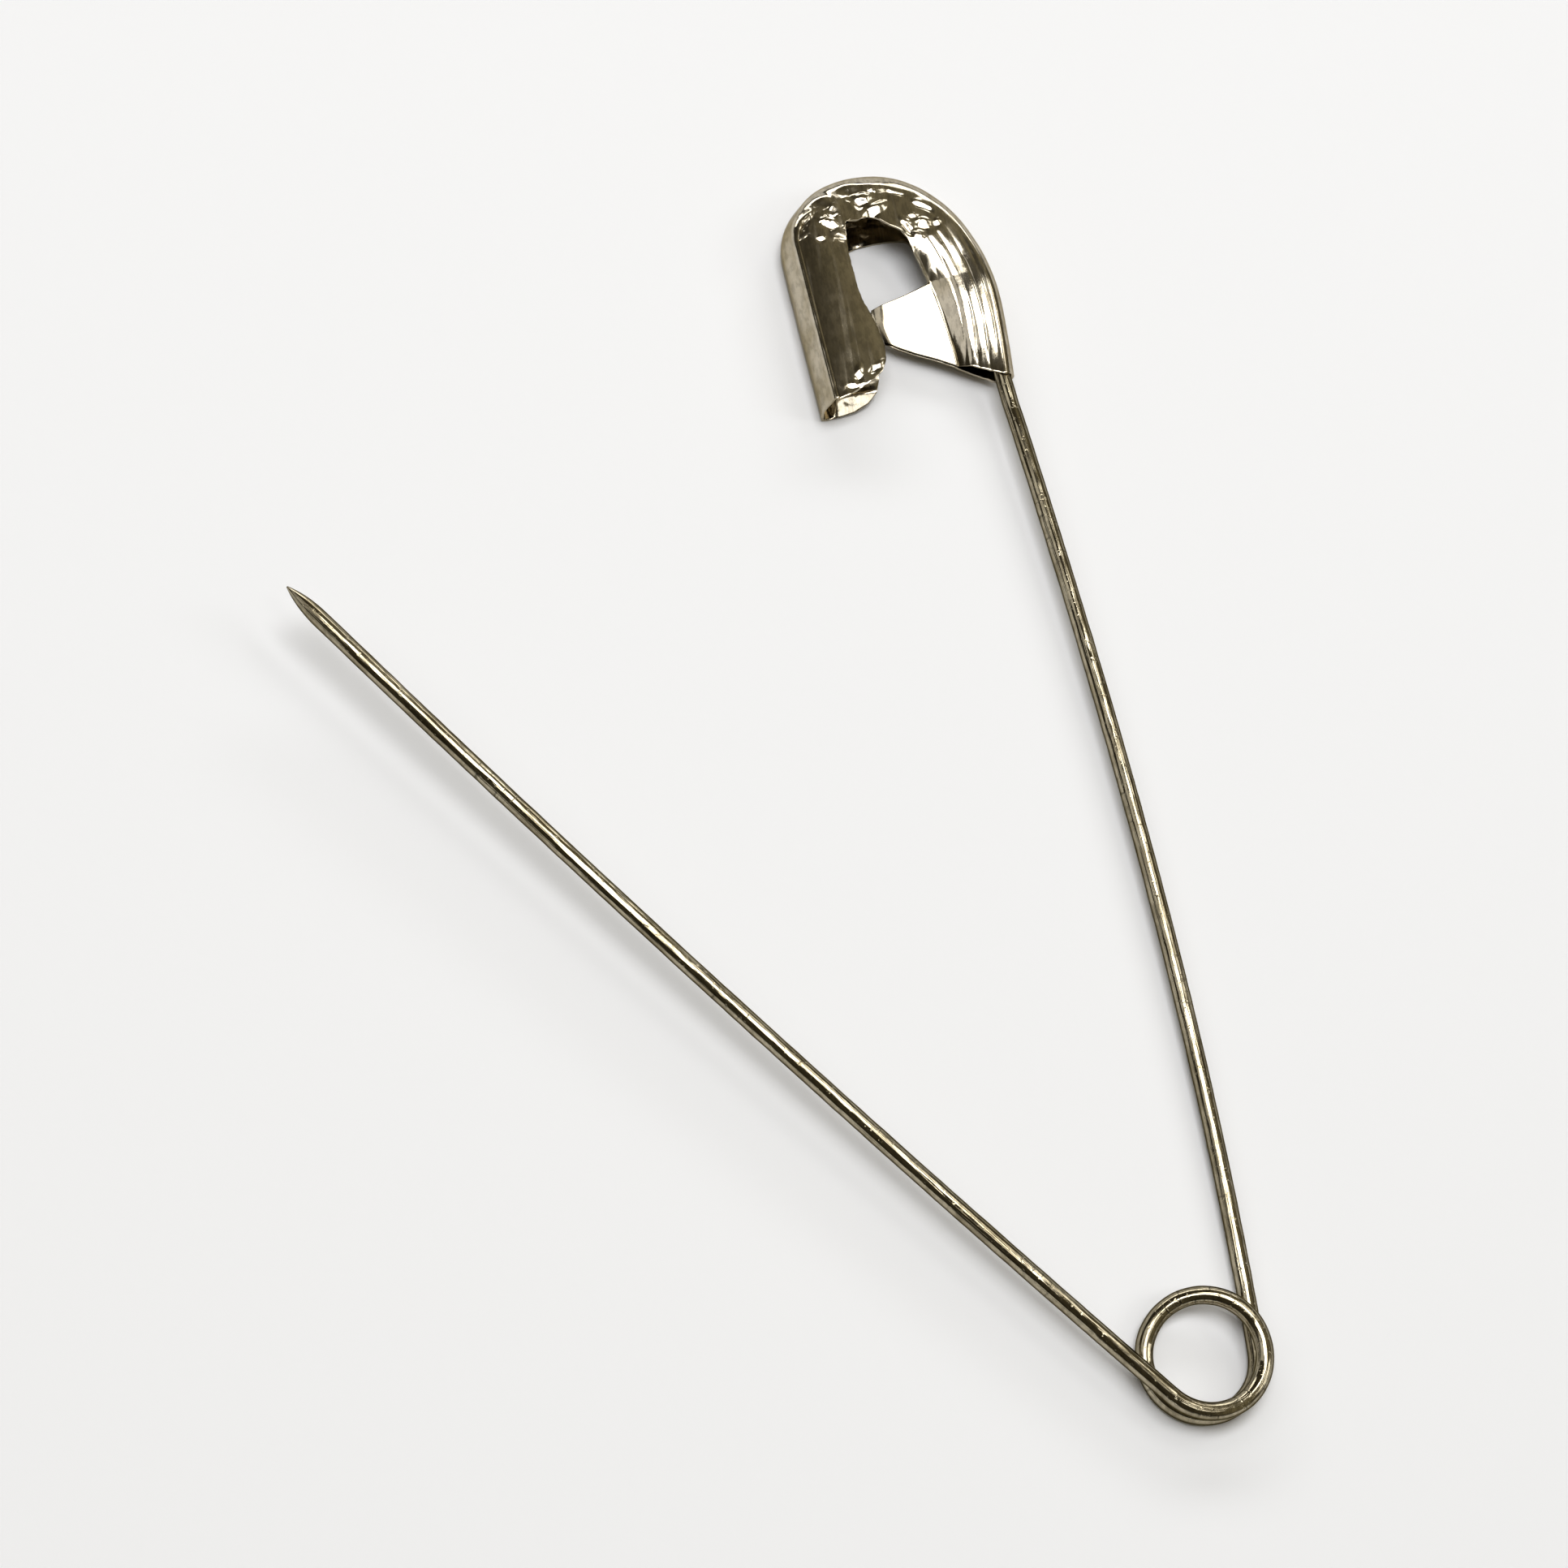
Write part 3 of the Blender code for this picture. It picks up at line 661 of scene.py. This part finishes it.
def section(outer, inward, reaches, fold, depth, flat, bulge=0, lean=None, tongue=None, fold_across=None):
    """A row of points across the folded sheet, from its back inner edge round the fold to its front one.

    The function flat gives the wall's height at a distance inwards, lean shifts its places across, and tongue
    lists the places beyond the wall with their heights.
    """
    halves = []
    fold_across = fold_across or fold
    for side, reach in ((-1, reaches[0]), (1, reaches[1])):
        row = []
        for index in range(WALL_STEPS):
            height = side * (depth - fold) * index / WALL_STEPS
            row.append((CAP_SHEET / 2 - bulged(height, depth, bulge), height, 0))
        for index in range(FOLD_STEPS):
            angle = math.pi / 2 * index / FOLD_STEPS
            height = side * (depth - fold + fold * math.sin(angle))
            round_in = fold_across * (1 - math.cos(angle))
            row.append((CAP_SHEET / 2 + round_in - bulged(height, depth, bulge), height, 0))
        first = CAP_SHEET / 2 + fold_across - bulged(side * depth, depth, bulge)
        for index in range(FLAT_STEPS + 1):
            share = index / FLAT_STEPS
            distance = first + (reach - first) * share
            row.append((distance, flat(side, distance), share))
        points = []
        for distance, height, share in row:
            spot = outer + inward * distance
            if lean is not None:
                spot = spot + lean(side, share)
            points.append((spot[0], spot[1], height))
        if tongue is not None:
            points += [(spot[0], spot[1], side * TONGUE_HALF + rise) for spot, rise in tongue]
        halves.append(points)
    return halves[0][:0:-1] + halves[1]


def keeper_rows():
    """From the keeper's mouth, whose lower lips are rounded, up its swelling outer wall."""
    count = round(KEEPER_SHOULDER / STATION)
    for index in range(count):
        share = index / count
        up = KEEPER_SHOULDER * share
        end = along_outline(KEEPER_EDGE, share ** KEEPER_EDGE_PACE)
        faded_in = ragged(up, seed=1) * eased(share * KEEPER_FADE_FOOT)
        width = end[0] + faded_in * eased((1 - share) * KEEPER_FADE_TOP)

        def lean(side, across, fade=(1 - share) ** LIP_FADE, rise=end[1] - up):
            outline = FRONT_LIP if side > 0 else BACK_LIP
            straight = np.array([outline[-1][0] * across, outline[-1][1] * across])
            return (along_outline(outline, across) - straight) * fade + np.array([0, rise * across])

        def flat(side, inward):
            return rounded_height(side, inward, HALF_DEPTH, 1)

        yield section(np.array([0, up]), np.array([1.0, 0]), (width, width), KEEPER_FOLD, HALF_DEPTH, flat,
                      bulge=KEEPER_BULGE, lean=lean)


def crown_rows():
    """Over the crown, on lines that turn evenly from the keeper's to the crimp side's."""
    quarters = (
        (180, 90, CROWN_ACROSS, CAP_LENGTH - KEEPER_SHOULDER, KEEPER_SHOULDER),
        (90, 0, CAP_WIDTH - CROWN_ACROSS, CAP_LENGTH - CRIMP_SHOULDER, CRIMP_SHOULDER),
    )
    places, reaches = [], []
    for first, last, across, along, foot in quarters:
        on_left = first == 180
        count = round(math.pi / 2 * (across + along) / 2 / STATION)
        for index in range(count):
            share = index / count
            angle = math.radians(first + (last - first) * share)
            up = foot + along * math.sin(angle)
            edge = CROWN_ACROSS + across * math.cos(angle) if on_left else crimp_side(up)
            outer = np.array([edge, up])
            inward = -np.array([math.cos(angle) / across, math.sin(angle) / along])
            inward /= np.linalg.norm(inward)
            places.append((on_left, share, up, outer, inward))
            reaches.append([distance_to(window, outer, inward) for window in (BACK_WINDOW, FRONT_WINDOW)])
    reaches = evened(np.array(reaches))
    for index, ((on_left, share, up, outer, inward), reach) in enumerate(zip(places, reaches)):
        near_ends = min(index, len(places) - 1 - index) * STATION
        faded = eased(near_ends / RAGGED_RUN_IN)
        rough_edge = [ragged(index * STATION / 2, seed) * faded for seed in (7, 8)]
        if on_left:
            fold = KEEPER_FOLD + (CROWN_FOLD - KEEPER_FOLD) * eased(share)
            fold_across = KEEPER_FOLD + (CROWN_FOLD_ACROSS - KEEPER_FOLD) * eased(share * CROWN_FOLD_PACE)
            rounded, bulge = 1 - eased(share * CROWN_FLATTENS), KEEPER_BULGE * (1 - eased(share))

            def flat(side, distance, rounded=rounded):
                return rounded_height(side, distance, HALF_DEPTH, rounded)

        else:
            fold, bulge = CROWN_FOLD + (CRIMP_DEPTH - CROWN_FOLD) * share, 0
            fold_across = CROWN_FOLD_ACROSS + (CRIMP_DEPTH - CROWN_FOLD_ACROSS) * eased(share)

            def flat(side, distance, up=up, downward=inward[1]):
                here = up + downward * distance
                return fluted_height(side, distance, HALF_DEPTH, pinched(here), here, here)

        yield section(outer, inward, reach + rough_edge, fold, HALF_DEPTH, flat, bulge=bulge,
                      fold_across=fold_across)


def crimp_rows():
    """Down the crimp side, with the tongue. The last row lies along the slanting end of the crimp."""
    count = round((CRIMP_SHOULDER - CRIMP_END) / STATION)
    for index in range(count + 1):
        share = index / count
        up = CRIMP_SHOULDER + (CRIMP_END - CRIMP_SHOULDER) * share
        depth = HALF_DEPTH + (CRIMP_DEPTH - HALF_DEPTH) * eased(share)
        slant = (TONGUE_FOOT[0][1] - CRIMP_END) * share ** 2

        def lean(side, across, slant=slant):
            return np.array([0, slant * across])

        def flat(side, inward, depth=depth, up=up, root_up=up + slant):
            return fluted_height(side, inward, depth, 1, up, root_up)

        outer = np.array([crimp_side(up), up])
        reach = channel(up)
        root = outer + np.array([-reach, 0]) + lean(1, 1)
        off_root = root - (np.array(TONGUE_TOP[0]) * (1 - share) + np.array(TONGUE_FOOT[0]) * share)
        tongue = []
        for step in range(1, TONGUE_STEPS + 1):
            along = step / TONGUE_STEPS
            top, foot = along_outline(TONGUE_TOP, along), along_outline(TONGUE_FOOT, along)
            spot = top + (foot - top) * share
            spot[0] -= TONGUE_BELLY * along * 4 * share * (1 - share)
            spot = spot + off_root * (1 - along) ** 2
            end_bend = TONGUE_END_BEND * eased((along - TONGUE_BENDS_FROM) / TONGUE_BENDS_OVER)
            droop = TONGUE_DROOP * (TONGUE_TOP[0][0] - spot[0]) + end_bend
            tongue.append((spot, tongue_plane(spot[1]) - droop))
        yield section(outer, np.array([-1.0, 0]), (reach, reach), CRIMP_DEPTH, depth, flat, lean=lean,
                      tongue=tongue)


def folded_sheet():
    """The middle of the cap's sheet as one grid of rows, with more columns where the tongue is."""
    verts, faces, previous = [], [], None
    for rows in (keeper_rows(), crown_rows(), crimp_rows()):
        for row in rows:
            start = len(verts)
            verts += [CAP_CORNER + Vector(point) for point in row]
            if previous is not None:
                first, width = previous
                shift = (len(row) - width) // 2
                for index in range(width - 1):
                    a, b = first + index, start + shift + index
                    faces.append((a, a + 1, b + 1, b))
            previous = (start, len(row))
    return verts, faces


# Where the press wrinkled the sheet: (across, up, half width across, half width up, strength)
WRINKLED = ((0.0027, 0.0149, 0.0022, 0.0024, 1.0), (0.0104, 0.0138, 0.0014, 0.0009, 1.1),
            (0.0060, 0.0173, 0.0032, 0.0013, 0.9), (0.0026, 0.0006, 0.0020, 0.0008, 0.8))
WRINKLES_END = 1.5
FACET_SIZE = 0.00095
FACET_SLOPE = 0.21
FACET_SEED = 3.7
FACET_CREASE = 0.3
SWELL_SIZE = 0.0026
SWELL_HEIGHT = 0.00012
FRONT_SEED = 3
BACK_SEED = 17
WRINKLED_FROM = 0.25
WRINKLED_OVER = 0.5
FACET_DRAW = 1796025335

# The back wall's lip at the keeper's mouth, which is smoother and flares out to let the point in
MOUTH_ACROSS = 0.0055
MOUTH_UP = 0.006
MOUTH_SMOOTHNESS = 0.7
MOUTH_FLARE = 0.40
MOUTH_RUN = 0.0015
MOUTH_FLARE_FADE = 0.0040
MOUTH_FLARE_FROM = 0.0003
MOUTH_FLARE_OVER = 0.0008
MOUTH_TILT = 0.05
MOUTH_TILT_FADE = 0.0035

# Press marks that tip the sheet towards the light: (across, up, turn, half length, half width)
PRESS_MARKS = ((0.0070, 0.0155, 43, 0.00095, 0.00036), (0.0062, 0.0165, 40, 0.00055, 0.00034),
               (0.0037, 0.0162, 10, 0.00056, 0.00046), (0.0032, 0.0148, -15, 0.00052, 0.00036),
               (0.0015, 0.0154, 59, 0.00070, 0.00022), (0.0030, 0.0169, 34, 0.00055, 0.00028),
               (0.0023, 0.0137, 30, 0.00026, 0.00024), (0.0039, 0.0137, 0, 0.00032, 0.00028),
               (0.0092, 0.0141, -70, 0.00060, 0.00028), (0.0107, 0.0139, -30, 0.00044, 0.00036),
               (0.0117, 0.0139, 65, 0.00036, 0.00022), (0.0099, 0.0147, 10, 0.00042, 0.00022),
               (0.0063, 0.0176, 2, 0.00150, 0.00036), (0.0092, 0.0170, -16, 0.00060, 0.00024),
               (0.0109, 0.0156, -38, 0.00070, 0.00026),
               (0.0025, 0.0017, 75, 0.00050, 0.00024), (0.0019, 0.0009, 15, 0.00040, 0.00022),
               (0.0040, 0.0022, 35, 0.00050, 0.00018))
MARK_SLOPES = (0.07, 0.20)
MARK_UNEVENNESS = 0.0010
MARK_WARP = 0.6
MARK_REACH = 9
MARK_SOFTNESS = 3

# Slow waves of the whole sheet
SHEET_WAVES = (330, 330, 300)
SHEET_WAVE_DEPTH = 0.000024
SMALL_WAVES = 2.7
SMALL_WAVE_SHARE = 0.4
RUBBED_EDGE = 0.00006
RUBBED_FROM_DEG = 50


def press_wrinkles(across, up, seed):
    """Height of the small facets and creases that the press leaves, in metres."""
    strength = 0
    for middle_across, middle_up, half_across, half_up, most in WRINKLED:
        far = ((across - middle_across) / half_across) ** 2 + ((up - middle_up) / half_up) ** 2
        strength = max(strength, most * math.exp(-far**WRINKLES_END))
    spot = Vector((across, up, 0)) / FACET_SIZE + Vector((0, 0, seed))
    far, middles = noise.voronoi(spot)
    planes = [noise.noise_vector(middle * FACET_SEED).xy.dot((spot - middle).xy) for middle in middles[:2]]
    inside = eased((far[1] - far[0]) / FACET_CREASE)
    facets = planes[0] * (1 + inside) / 2 + planes[1] * (1 - inside) / 2
    swells = noise.noise(Vector((across, up, seed)) / SWELL_SIZE)
    height = FACET_SLOPE * FACET_SIZE * strength * facets + SWELL_HEIGHT * min(strength * 2, 1) * swells
    uneven = noise.noise_vector(Vector((across, up, seed)) / MARK_UNEVENNESS) * MARK_WARP
    for middle_across, middle_up, turn, half_length, half_width in PRESS_MARKS:
        line, off_across, off_up = toward(turn), across - middle_across, up - middle_up
        lengthwise = (off_across * line.x + off_up * line.y) / half_length + uneven.x
        sideways = (off_up * line.x - off_across * line.y) / half_width + uneven.y
        inside = math.exp(-min(lengthwise**2 + sideways**2, MARK_REACH) ** 2 / MARK_SOFTNESS)
        height += inside * (MARK_SLOPES[0] * off_across + MARK_SLOPES[1] * off_up)
    return height


def pressed_cap():
    """The folded sheet with its press marks and waves, given its thickness and rubbed edges.

    The facets and the uneven edges of the marks come from a random draw, which is seeded here.
    """
    noise.seed_set(FACET_DRAW)
    verts, faces = folded_sheet()
    mesh = bpy.data.meshes.new("pressed_clasp_cap")
    mesh.from_pydata(verts, [], faces)
    mesh.update()
    normals = [Vector(normal.vector) for normal in mesh.vertex_normals]
    for vertex, normal in zip(mesh.vertices, normals):
        across, up, height = vertex.co - CAP_CORNER
        side = 1 if height > 0 else -1
        outward = 1 if normal.z * side > 0 else -1
        level = held((abs(height) / HALF_DEPTH - WRINKLED_FROM) / WRINKLED_OVER)
        place = Vector((across * SHEET_WAVES[0], up * SHEET_WAVES[1], height * SHEET_WAVES[2]))
        waves = noise.noise(place) + SMALL_WAVE_SHARE * noise.noise(place * SMALL_WAVES)
        pressed = press_wrinkles(across, up, FRONT_SEED if side > 0 else BACK_SEED) * level
        vertex.co += normal * (pressed * outward + SHEET_WAVE_DEPTH * waves)
        if side < 0 and across < MOUTH_ACROSS and up < MOUTH_UP:
            vertex.co -= normal * pressed * outward * MOUTH_SMOOTHNESS
            flare = MOUTH_FLARE * min(up, MOUTH_RUN) * (1 - eased((up - MOUTH_RUN) / MOUTH_FLARE_FADE))
            flare += MOUTH_TILT * across * (1 - eased((up - MOUTH_RUN) / MOUTH_TILT_FADE))
            vertex.co.z += flare * level * eased((across - MOUTH_FLARE_FROM) / MOUTH_FLARE_OVER)
        vertex.co.z = max(vertex.co.z, CAP_CORNER.z - HALF_DEPTH)
    mesh.shade_smooth()
    cap = placed("pressed_clasp_cap", mesh)
    sheet = cap.modifiers.new("sheet", "SOLIDIFY")
    sheet.thickness = CAP_SHEET
    sheet.offset = 0
    sheet.use_rim = True
    edges = cap.modifiers.new("rubbed_edges", "BEVEL")
    edges.width = RUBBED_EDGE
    edges.segments = 2
    edges.limit_method = "ANGLE"
    edges.angle_limit = math.radians(RUBBED_FROM_DEG)
    return cap


CAP_BRIGHT = (0.54, 0.485, 0.385, 1)
CAP_DULL = (0.41, 0.355, 0.255, 1)
ROLLED_DEG = -86
LINE_RELIEF = 0.22
PEEL_RELIEF = 2.5
GRAIN_RELIEF = 0.8


def plated_sheet():
    """Bright nickel on pressed sheet: mirror-like, with faint rolling lines and a fine orange peel."""
    material, tree, shader, place_mm = bare_plate("plated_sheet")
    tone = node(tree, "ShaderNodeGroup", {"node_tree": PLATE_TONE}, Vector=place_mm, Bright=CAP_BRIGHT,
                Dull=CAP_DULL, Size=0.30, Mottling=0.22)
    tree.links.new(tone.outputs["Color"], shader.inputs["Base Color"])
    rolled = node(tree, "ShaderNodeVectorRotate", {"rotation_type": "Z_AXIS"}, Vector=place_mm,
                  Angle=math.radians(ROLLED_DEG)).outputs[0]
    lines = node(tree, "ShaderNodeGroup", {"node_tree": HAIRLINES}, Vector=rolled, Length=0.25, Fineness=6.0,
                 Share=0.22)
    rubbed(tree, shader, tone, lines, least=0.09, where_dull=0.06, where_lined=0.05)
    peel = node(tree, "ShaderNodeTexNoise", Vector=place_mm, Scale=1.5, Detail=3.0, Roughness=0.5)
    grain = node(tree, "ShaderNodeTexNoise", Vector=place_mm, Scale=5.5, Detail=2.0, Roughness=0.6)
    height = math_node(tree, "MULTIPLY", lines.outputs["Height"], LINE_RELIEF)
    height = math_node(tree, "MULTIPLY_ADD", peel.outputs["Fac"], PEEL_RELIEF, height)
    height = math_node(tree, "MULTIPLY_ADD", grain.outputs["Fac"], GRAIN_RELIEF, height)
    embossed(tree, shader, height, strength=0.16)
    return material


clasp_cap = pressed_cap()
clasp_cap.data.materials.append(plated_sheet())
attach(clasp_cap, "cap_and_back_arm")
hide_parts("clasp_cap")


# The table, the light and the camera. A plain pale top, soft lamps in a dim room, and the view from above the
# coil's side, aimed at the middle of the open pin.

TABLE_SIZE = 0.8
TABLE_COLOUR = (0.955, 0.962, 0.985, 1)
ROOM_DARK = (0.020, 0.016, 0.010, 1)
ROOM_DIM = (0.25, 0.222, 0.145, 1)
ROOM_RISES = (0.15, 0.75)
ROOM_TURNS = (-0.1, 0.5)
ROOM_LEFT_SHARE = 0.2
BACKDROP_COLOUR = (0.84, 0.845, 0.85, 1)
BACKDROP_TOP = (0.22, 0.30)
LAMP_DISTANCE = 0.8

# The lamps: (azimuth and elevation that it shines from, degrees wide, degrees high, radiance)
LAMPS = {
    "lamp_overhead": (102, 83, 36, 20, 7.9),
    "lamp_beyond_the_clasp": (80, 28, 70, 12, 3.9),
    "lamp_on_the_right": (-15, 40, 16, 24, 2.7),
    "lamp_over_the_coil": (27, 54, 14, 10, 3.2),
    "lamp_on_the_left": (160, 50, 28, 26, 0.9),
    "lamp_near_the_viewer": (-57, 70, 10, 14, 2.4),
}

CAMERA_PLACE = Vector((-0.052697, -0.076511, 0.2198))
CAMERA_AIM = Vector((0.003364, 0.001195, 0.0019))
CAMERA_UP = Vector((0.147956, 0.918878, 0.365749))
CAMERA_LENS = 75.43
SENSOR_WIDTH = 36
NEAREST_SEEN = 0.01


def pale_top():
    """A matt, nearly white table top."""
    material = bpy.data.materials.new("pale_top")
    material.use_nodes = True
    shader = material.node_tree.nodes["Principled BSDF"]
    shader.inputs["Base Color"].default_value = TABLE_COLOUR
    shader.inputs["Roughness"].default_value = 0.9
    shader.inputs["Specular IOR Level"].default_value = 0.1
    return material


def table_top():
    """The table's flat top, which belongs to the stage and not to the pin."""
    half = TABLE_SIZE / 2
    corners = [(-half, -half, 0), (half, -half, 0), (half, half, 0), (-half, half, 0)]
    mesh = bpy.data.meshes.new("table_top")
    mesh.from_pydata(corners, [], [(0, 1, 2, 3)])
    top = placed("table_top", mesh)
    mesh.materials.append(pale_top())


def soft_lamp(name, azimuth, elevation, wide_deg, high_deg, radiance):
    """A flat lamp that shines in from this direction, this many degrees across as the pin sees it."""
    width, height = (2 * LAMP_DISTANCE * math.tan(math.radians(deg / 2)) for deg in (wide_deg, high_deg))
    data = bpy.data.lights.new(name, "AREA")
    data.shape, data.size, data.size_y = "RECTANGLE", width, height
    data.energy = math.pi * width * height * radiance
    lamp = placed(name, data)
    rise = math.radians(elevation)
    lamp.location = LAMP_DISTANCE * Vector((*(math.cos(rise) * toward(azimuth))[:2], math.sin(rise)))
    lamp.rotation_euler = (-lamp.location).to_track_quat("-Z", "Y").to_euler()


table_top()
for name, settings in LAMPS.items():
    soft_lamp(name, *settings)


def dim_room():
    """A room that is dark on the left and dimly lit higher up on the right.

    Low down it has a pale backdrop, which the camera and the metal see, and which lights nothing else.
    """
    world = bpy.data.worlds.new("dim_room")
    world.use_nodes = True
    tree = world.node_tree
    direction = tree.nodes.new("ShaderNodeTexCoord").outputs["Generated"]
    parts = node(tree, "ShaderNodeSeparateXYZ", Vector=direction)
    upper = spread(tree, parts.outputs["Z"], *ROOM_RISES)
    right = spread(tree, parts.outputs["X"], *ROOM_TURNS, ROOM_LEFT_SHARE, 1.0)
    tone = node(tree, "ShaderNodeMix", {"data_type": "RGBA"}, i0=math_node(tree, "MULTIPLY", upper, right),
                i6=ROOM_DARK, i7=ROOM_DIM)
    path = tree.nodes.new("ShaderNodeLightPath").outputs
    seen = math_node(tree, "MAXIMUM", path["Is Glossy Ray"], path["Is Transmission Ray"])
    seen = math_node(tree, "MAXIMUM", seen, path["Is Camera Ray"])
    low = spread(tree, parts.outputs["Z"], *BACKDROP_TOP, 1.0, 0.0)
    backdrop = math_node(tree, "MULTIPLY", seen, low)
    shown = node(tree, "ShaderNodeMix", {"data_type": "RGBA"}, i0=backdrop, i6=tone.outputs[2],
                 i7=BACKDROP_COLOUR)
    tree.links.new(shown.outputs[2], tree.nodes["Background"].inputs["Color"])
    return world


bpy.context.scene.world = dim_room()

camera_data = bpy.data.cameras.new("camera")
camera_data.lens = CAMERA_LENS
camera_data.sensor_width = SENSOR_WIDTH
camera_data.clip_start = NEAREST_SEEN
camera = placed("camera", camera_data)
forward = (CAMERA_AIM - CAMERA_PLACE).normalized()
sideways = forward.cross(CAMERA_UP).normalized()
upward = sideways.cross(forward)
turned = Matrix((sideways, upward, -forward)).transposed().to_4x4()
camera.matrix_world = Matrix.Translation(CAMERA_PLACE) @ turned
bpy.context.scene.camera = camera
bpy.context.scene.view_settings.view_transform = "Standard"
